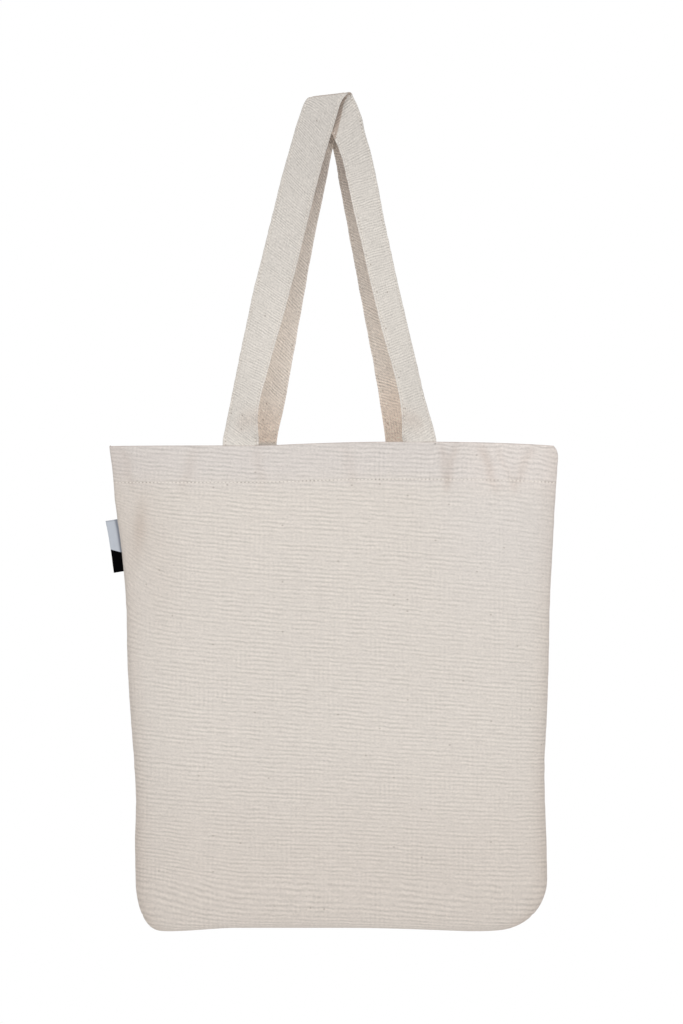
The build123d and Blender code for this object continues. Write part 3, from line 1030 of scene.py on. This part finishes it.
def strap_leg(side, hand, top, line):
    """Stations of one leg, from its sewn-in end up to the fold: centre, across direction and
    width gain. Near the fold, across turns from square with the leg to the fold's own line."""
    foot = np.array((FEET[side, hand], side * FOOT_Y, MOUTH_Z))
    rise, x, twist = np.array(LEGS[side, hand]).T
    points = foot + (top - foot) * rise[:, None]
    points[:, 0] = x
    sewn = foot - np.array(((0, 0, TUCK), (0, 0, TUCK / 2), (0, 0, 0)))
    centre = np.concatenate((sewn, points, [top]))
    along = unit(np.gradient(centre, axis=0))
    flat = unit(np.cross((0.0, 1.0, 0.0), along))
    turn = np.radians(np.pad(twist, (3, 1)))[:, None] * hand
    turned = flat * np.cos(turn) + np.cross(along, flat) * np.sin(turn)
    slant = step(centre[:, [2]], top[2] - FOLD_REACH, top[2])
    across = unit(turned * (1 - slant) + line * slant)
    across[:3] = (1.0, 0.0, 0.0)
    return np.concatenate((centre, across, 1 + (FOLD_GAIN[side] - 1) * slant), axis=1)


def strap_line(side):
    """Centre, across direction and width gain along one strap, from its left sewn-in end up
    over the slanting fold and down to its right end, and its length. The straps' feet stand
    square with the mouth, and the front one's right leg is nipped just above it."""
    line = np.array((np.cos(FOLD_TILT), 0, np.sin(FOLD_TILT)))
    up = np.array((-np.sin(FOLD_TILT), 0, np.cos(FOLD_TILT)))
    angle = np.linspace(0, np.pi, 9)[:, None]
    fold = line * FOLD_DRIFT[side] * (angle / np.pi - 0.5) + up * FOLD_TURN * np.sin(angle)
    fold = fold - FOLD_TURN * np.cos(angle) * (0.0, 1.0, 0.0)
    fold = fold + (FOLD_X[side], side * FOLD_Y, FOLD_Z)
    over = np.tile((*line, FOLD_GAIN[side]), (9, 1))
    left = strap_leg(side, -1, fold[0], line)[:-1]
    right = strap_leg(side, 1, fold[-1], line)[-2::-1]
    knots = np.concatenate((left, np.concatenate((fold, over), axis=1), right))
    run = distances(knots[:, :3])
    start, end = run[len(left)], run[-1 - len(right)]
    at = np.concatenate((
        np.arange(0, start, STRAP_STEP),
        np.linspace(start, end, 26),
        run[-1] - np.arange(0, run[-1] - end, STRAP_STEP),
    ))
    rows = smooth_between(run, knots, np.unique(np.round(at, 6)))
    centre, across, gain = rows[:, :3], rows[:, 3:6], rows[:, 6]
    free = step(centre[:, [2]], MOUTH_Z, MOUTH_Z + 0.007)
    foot = centre.copy()
    foot[:, 0] = np.where(centre[:, 0] < 0, FEET[side, -1], FEET[side, 1])
    foot[:, 1] = side * FOOT_Y
    centre = foot * (1 - free) + centre * free
    across = unit((1.0, 0.0, 0.0) * (1 - free) + across * free)
    if side < 0:
        nip = hump(centre[:, 2] - MOUTH_Z - 0.001, 0.008) * (centre[:, 0] > 0)
        gain = gain - 0.075 * nip
        centre[:, 0] -= 0.0012 * nip
    return centre, across, gain, run[-1]


def strap_profile(sizes):
    """Folded strap's section: flat with round edges, a groove under each stitched row and a
    slightly full middle. Runs left to right on top, then back below."""
    half, row = sizes.strap / 2, sizes.strap_row
    flat = np.linspace(-half + 0.004, half - 0.004, 9)
    edge = np.array((0.0, 0.0003, 0.0008, 0.0015, row - 0.0005, row, row + 0.0006))
    a = np.concatenate((edge - half, flat, (half - edge)[::-1]))
    inside = half - np.abs(a)
    thick = sizes.strap_layers / 2 * (1 - np.clip(1 - inside / 0.0009, 0, 1) ** 2.4) ** 0.5
    thick = thick * (0.62 + 0.38 * step(inside, 0, 0.005)) - 0.00024 * hump(inside - row, 0.0006)
    top = np.stack((a, np.maximum(thick, 0.00016)), axis=1)
    return np.concatenate((top, top[::-1] * (1, -1)))


def strap_slack(grid, a, centre, run, side, sizes):
    """Moves a strap's points as its cloth gives: slanting creases above the mouth, a slow
    wave down its length, edges that pucker between stitches, and a rounded end to the
    front fold."""
    hand = np.sign(centre[:, [0]])
    rise = grid[..., 2] - MOUTH_Z
    near = step(rise, 0, 0.007) * step(rise, 0.046, 0.020)
    crease = np.sin(2 * np.pi * (rise + 0.55 * hand * a) / 0.0135 + 0.9 * hand + 2.1 * side)
    buckle = sizes.buckle * (1.0 if side < 0 else 0.35)
    out = buckle * near * crease * (0.65 + 0.35 * np.sin(a * 190 + 0.8 * hand))
    free = step(rise, 0.02, 0.05) * step(grid[..., 2], -0.012, -0.042)
    down = run[:, None]
    out = out + 0.0004 * free * waves(down, a * 2.0, 91 + side, 9, 0.012, 0.06)
    edge = step(np.abs(a), 0.0125, 0.0155) * np.sign(a) * free
    grid[..., 0] += 0.00016 * edge * waves(down, 3 * np.sign(a), 97 + side, 8, 0.005, 0.016)
    grid[..., 1] += out
    if side < 0:
        past = down - run[np.argmax(centre[:, 2])]
        corner = step(-a, 0.0108, 0.0158) * hump(past, 0.008)
        point = step(a, 0.008, 0.016) * hump(past, np.where(past < 0, 0.010, 0.006))
        grid[..., 0] += 0.0028 * point - 0.0008 * corner
        grid[..., 2] += 0.0008 * point - 0.0003 * corner
    return grid


def painted_shade_strip(grid, centre, across, gain, sizes):
    """How far inside the narrow strip beside the left leg's inner edge each point of the right
    leg lies, just below the fold: the left leg's shadow is painted on the right leg there.
    The strip widens downwards."""
    middle = np.argmax(centre[:, 2])
    edge = (centre + across * (gain * sizes.strap / 2)[:, None])[:middle]
    x, z = grid[..., 0], grid[..., 2]
    inside = 0.0031 + 0.062 * np.clip(-z, 0, 0.036) - (x - np.interp(z, edge[:, 2], edge[:, 0]))
    below = np.arange(len(centre))[:, None] > middle + 6
    front = np.arange(grid.shape[1]) < grid.shape[1] // 2
    return np.where(below & (z > -0.044) & front, inside, -0.001)


def strap_masks(side, grid, a, centre, across, gain, run, normal, sizes):
    """Masks of a strap. The face turned towards the bag's middle is paler with painted light.
    It is dimmer towards the fold, on the back strap with painted shade, and the front strap's
    feet get painted shade in streaks along their creases and in a warm patch. Its rows are
    calmer near the mouth. A band over the crest, and the front fold's strip beside the left
    leg, get a darker painted shade."""
    x, z = centre[:, [0]], centre[:, [2]]
    rise = z - MOUTH_Z
    # Painted light on the face turned towards the bag's middle
    facing_in = step(0.5 - 0.9 * side * normal[:, [1]])
    top = np.arange(a.shape[1]) < a.shape[1] // 2
    inner = np.where(top, facing_in, 1 - facing_in) * step(rise, 0, 0.004)
    # Painted shade in a band over the crest of the fold
    crest = 0.0018 * hump(run - run[np.argmax(z)], 0.0062)[:, None] - 0.001
    # Painted shadow of the front strap's left leg on its right leg, and a band of painted shade
    # over the crest
    painted_shade = painted_shade_strip(grid, centre, across, gain, sizes) if side < 0 else crest
    if side < 0:
        calm = 0.60 * hump(rise - 0.023, 0.014)
        left = 0.27 * step(z, -0.235, -0.125) + 0.19 * step(z, -0.12, -0.02)
        right = 0.07 * step(z, -0.20, -0.12) + 0.28 * step(z, -0.115, -0.025)
        # Painted shade at the front strap's feet: streaks along the creases and a warm patch
        outward = np.sign(x) * a
        streak = np.sin(2 * np.pi * (rise - 0.70 * outward) / 0.0056 + 1.3 * np.sign(x))
        foot = 0.10 * (1 + streak) * step(rise, 0, 0.003) * step(rise, 0.034, 0.014)
        patch = hump(rise - 0.019 + 0.3 * outward, 0.009) * step(outward, 0.010, -0.002)
        dim = np.where(x < 0, left, right) + foot + 0.38 * patch
        shade = 0.38 * inner + 0.30 * patch
    else:
        calm = 0.62 * step(rise, 0.050, 0.025)
        # Painted shade on the back strap towards the fold, less just below it
        dim = 0.40 * step(z, -0.225, -0.135) + 0.50 * step(z, -0.12, -0.06)
        dim = dim - 0.45 * step(z, -0.056, -0.040)
        # Painted light on the back strap's inward face, more at its feet
        lower = np.where(x < 0, step(z, -0.248, -0.298), step(z, -0.220, -0.280))
        shade = (0.36 + 0.64 * lower + 0.21 * step(z, -0.12, -0.06)) * inner
    painted_shade = np.where(crest > -0.0009, np.maximum(painted_shade, crest), painted_shade)
    return {"shade": shade, "dim": dim, "painted_shade": painted_shade, "calm": calm}


def make_strap(side, word, sizes):
    """One handle: a stitched strap, its sewn-in ends, and the thread along its two edges."""
    centre, across, gain, length = strap_line(side)
    profile = strap_profile(sizes)
    run = distances(centre)
    a = np.broadcast_to(profile[:, 0], (len(centre), len(profile)))
    grid = strap_slack(swept_grid(centre, across, profile, gain), a, centre, run, side, sizes)
    direction = unit(np.gradient(centre, axis=0))
    normal = unit(np.cross(direction, across))
    share, slope = np.array(SKEWS[side]).T
    skew = smooth_between(share * run[-1], slope, run)[:, None]
    cloth = np.stack((a, (run[:, None] + skew * a) * WEAVE_STRETCH[side]), axis=-1)
    half = sizes.strap / 2 - sizes.strap_row
    beats = [
        stitch_count(distances(centre + across * (hand * half * gain)[:, None]), sizes.pitch)
        for hand, _ in HANDS
    ]
    beat = np.where(a < 0, beats[0][:, None], beats[1][:, None])
    maps = {"cloth": cloth, "stitch": np.stack((beat, half - np.abs(a)), axis=-1)}
    masks = strap_masks(side, grid, a, centre, across, gain, run, normal, sizes)
    strap = swept_piece(f"{word}_strap", grid, maps, masks)
    handle = f"{word}_handle"
    nodes = (handle, f"{word}_left_strap_end", f"{word}_right_strap_end")
    dress(strap, "undyed_strap", "strap", *nodes, body=None)
    rows = []
    for face, (hand, _) in product((1, -1), HANDS):
        off_row = np.abs(profile[:, 0] - hand * half) + (profile[:, 1] * face < 0)
        line = grid[:, np.argmin(off_row)] + normal * (face * 0.00012)
        rows.append(stitch_places(line, direction, normal * face, sizes.pitch))
    thread = stitches_piece(f"{word}_strap_stitches", rows, sizes)
    dress(thread, "sewing_thread", "strap", body=None)
    for piece in (strap, thread):
        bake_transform(piece)


def make_hem_row(side, word, sizes):
    """The row of stitches round the mouth, on the panel and on the facing inside."""
    rows = []
    drops = sizes.hem + np.array((-0.001, 0.0, 0.001))[:, None]
    for inset, face in ((0.0, 1), (row_inset(sizes), -1)):
        grid = body_points(side, HEM_SHARES, drops, sizes, inset)
        line = grid[1]
        along = np.gradient(line, distances(line), axis=0)
        normal = grid_normals(grid)[1] * -side * face
        rows.append(stitch_places(line, along, normal, sizes.pitch))
    piece = stitches_piece(f"{word}_hem_stitches", rows, sizes)
    dress(piece, "sewing_thread", "canvas")
    return piece


def make_tag(sizes):
    """The tag in the left side seam: tape folded in two, its fold outwards, that leans with
    the seam and curls a little."""
    share = np.linspace(0, 1, 30)[:, None]
    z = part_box("side_label")[1].z + 0.0012 - TAG_LENGTH * share
    edge = body_points(-1, 0.0, MOUTH_Z - z, sizes)[..., 0]
    turn = np.linspace(-np.pi / 2, np.pi / 2, 9)
    flat = np.linspace(TAG_TUCK, 0.0012 - TAG_REACH, 16)
    out = -np.concatenate((flat, TAG_RADIUS * (1 - np.cos(turn)) - TAG_REACH, flat[::-1]))
    face = np.concatenate((np.full(16, -1.0), np.sin(turn), np.full(16, 1.0)))
    shown = np.clip(out / TAG_REACH, 0, 1)
    curl = 0.0007 * shown**2 * np.sin(np.pi * (share - 0.1))
    x = edge - 0.0008 + 0.0016 * share - out
    y = face * (TAG_RADIUS + 0.00025 * np.sin(np.pi * shown)) + curl
    grid = np.stack((x, y, z - 0.16 * out), axis=-1)
    cloth = np.stack(np.broadcast_arrays(out, TAG_LENGTH * (0.648 - share)), axis=-1)
    # Painted shade: a darker line where the tape comes out of the seam and along its top edge
    line = hump(out - 0.0012, 0.0011) + hump(share * TAG_LENGTH - 0.0004, 0.0005)
    masks = {"shade": np.clip(line, 0, 1)}
    piece = sheet_piece("side_tag", grid, TAG_TAPE, cloth, 1, masks=masks)
    dress(piece, "two_tone_tape", "label", "side_label")


# Stage

def make_floor():
    """Pale round floor under the hanging bag, which fades into the surround."""
    turn = np.linspace(0, 2 * np.pi, 96, endpoint=False)
    rings = FLOOR_RINGS[:, None]
    places = (rings * np.cos(turn), rings * np.sin(turn), BASE_Z - FLOOR_DROP)
    points = np.stack(np.broadcast_arrays(*places), axis=-1).reshape(-1, 3)
    floor = new_piece("floor", points, grid_quads(len(rings), len(turn), wrap=True))
    tree = new_tree("pale_floor")
    values = {"Base Color": (0.93, 0.93, 0.93, 1), "Roughness": 0.9, "Specular IOR Level": 0.1}
    pale = set_shader(tree, values)
    level = vector("MULTIPLY", make(tree, "ShaderNodeTexCoord", output="Object"), (1, 1, 0))
    away = make(tree, "ShaderNodeVectorMath", {0: level}, "Value", operation="LENGTH")
    glow = make(tree, "ShaderNodeEmission", {"Color": (1, 1, 1, 1), "Strength": 1.0})
    share = ramp(away, 0.5, 2.0) * make(tree, "ShaderNodeLightPath", output="Is Camera Ray")
    fade = make(tree, "ShaderNodeMixShader", {0: share, 1: pale, 2: glow})
    plug(tree.nodes["Material Output"].inputs["Surface"], fade)
    floor.data.materials.append(bpy.data.materials["pale_floor"])


def make_world(scene):
    """Plain white surround, that lights the bag more softly than it shows."""
    scene.world = bpy.data.worlds.new("studio")
    scene.world.use_nodes = True
    tree = scene.world.node_tree
    tree.nodes.clear()
    seen = make(tree, "ShaderNodeLightPath", output="Is Camera Ray")
    for word in ("Is Glossy Ray", "Is Transmission Ray"):
        seen = seen.calc("MAXIMUM", make(tree, "ShaderNodeLightPath", output=word))
    ambient, white = (
        make(tree, "ShaderNodeBackground", {"Color": (1, 1, 1, 1), "Strength": strength})
        for strength in (0.64, 1.0)
    )
    mix = make(tree, "ShaderNodeMixShader", {0: seen, 1: ambient, 2: white})
    plug(tree.nodes.new("ShaderNodeOutputWorld").inputs["Surface"], mix)


def make_stage():
    """The floor, the surround, four soft lamps and the camera straight in front."""
    scene = bpy.context.scene
    make_floor()
    make_world(scene)
    for name, place, size, power in LAMPS:
        lamp = bpy.data.lights.new(name, "AREA")
        lamp.energy = power
        lamp.size = size
        holder = new_object(name, lamp)
        holder.location = place
        towards = Vector(unit(LAMP_TARGET - place))
        holder.rotation_euler = towards.to_track_quat("-Z", "Y").to_euler()
    camera = bpy.data.cameras.new("camera")
    camera.sensor_width = SENSOR
    camera.lens = -SENSOR * CAMERA_PLACE[1] / VIEW_HEIGHT
    camera.clip_end = 50.0
    scene.camera = new_object("camera", camera)
    scene.camera.location = CAMERA_PLACE
    scene.camera.rotation_euler = (np.pi / 2, 0, 0)
    scene.view_settings.view_transform = "Standard"


# Add-on

class TOTE_OT_stage(Operator):
    """Sets up the floor, the light and the camera"""
    bl_idname = "tote.stage"
    bl_label = "Stage"

    def execute(self, context):
        make_stage()
        return {"FINISHED"}


class TOTE_OT_body(Operator):
    """Makes the front and back panels, the facings, the seam allowances and the hem rows"""
    bl_idname = "tote.body"
    bl_label = "Body"

    def execute(self, context):
        sizes = context.scene.tote_sizes
        inside = make_seams(sizes)
        for side, word in SIDES:
            panel = make_panel(side, word, sizes)
            lining = make_lining(side, word, sizes)
            row = make_hem_row(side, word, sizes)
            [row] + (inside if side < 0 else [])
        return {"FINISHED"}


class TOTE_OT_straps(Operator):
    """Makes the two handles with their edge stitches"""
    bl_idname = "tote.straps"
    bl_label = "Straps"

    def execute(self, context):
        for side, word in SIDES:
            make_strap(side, word, context.scene.tote_sizes)
        return {"FINISHED"}


class TOTE_OT_tag(Operator):
    """Makes the plain two-tone tag in the side seam"""
    bl_idname = "tote.tag"
    bl_label = "Tag"

    def execute(self, context):
        make_tag(context.scene.tote_sizes)
        return {"FINISHED"}


class TOTE_PT_panel(Panel):
    """Lists the bag's sizes, colours and pieces"""
    bl_idname = "TOTE_PT_panel"
    bl_label = "Tote Bag"
    bl_space_type = "VIEW_3D"
    bl_region_type = "UI"
    bl_category = "Tote Bag"

    def draw(self, context):
        scene = context.scene
        for group in (scene.tote_sizes, scene.tote_colours):
            box = self.layout.box()
            for word in group.bl_rna.properties.keys()[2:]:
                box.prop(group, word)
        for operator in OPERATORS:
            self.layout.operator(operator.bl_idname)


OPERATORS = (TOTE_OT_stage, TOTE_OT_body, TOTE_OT_straps, TOTE_OT_tag)
CLASSES = (ToteSizes, ToteColours, *OPERATORS, TOTE_PT_panel)


def register():
    for item in CLASSES:
        bpy.utils.register_class(item)
    bpy.types.Scene.tote_sizes = PointerProperty(type=ToteSizes)
    bpy.types.Scene.tote_colours = PointerProperty(type=ToteColours)


def unregister():
    del bpy.types.Scene.tote_colours
    del bpy.types.Scene.tote_sizes
    for item in reversed(CLASSES):
        bpy.utils.unregister_class(item)


def main():
    register()
    for operator in (bpy.ops.tote.stage, bpy.ops.tote.body, bpy.ops.tote.straps, bpy.ops.tote.tag):
        operator()


if __name__ == "__main__":
    main()
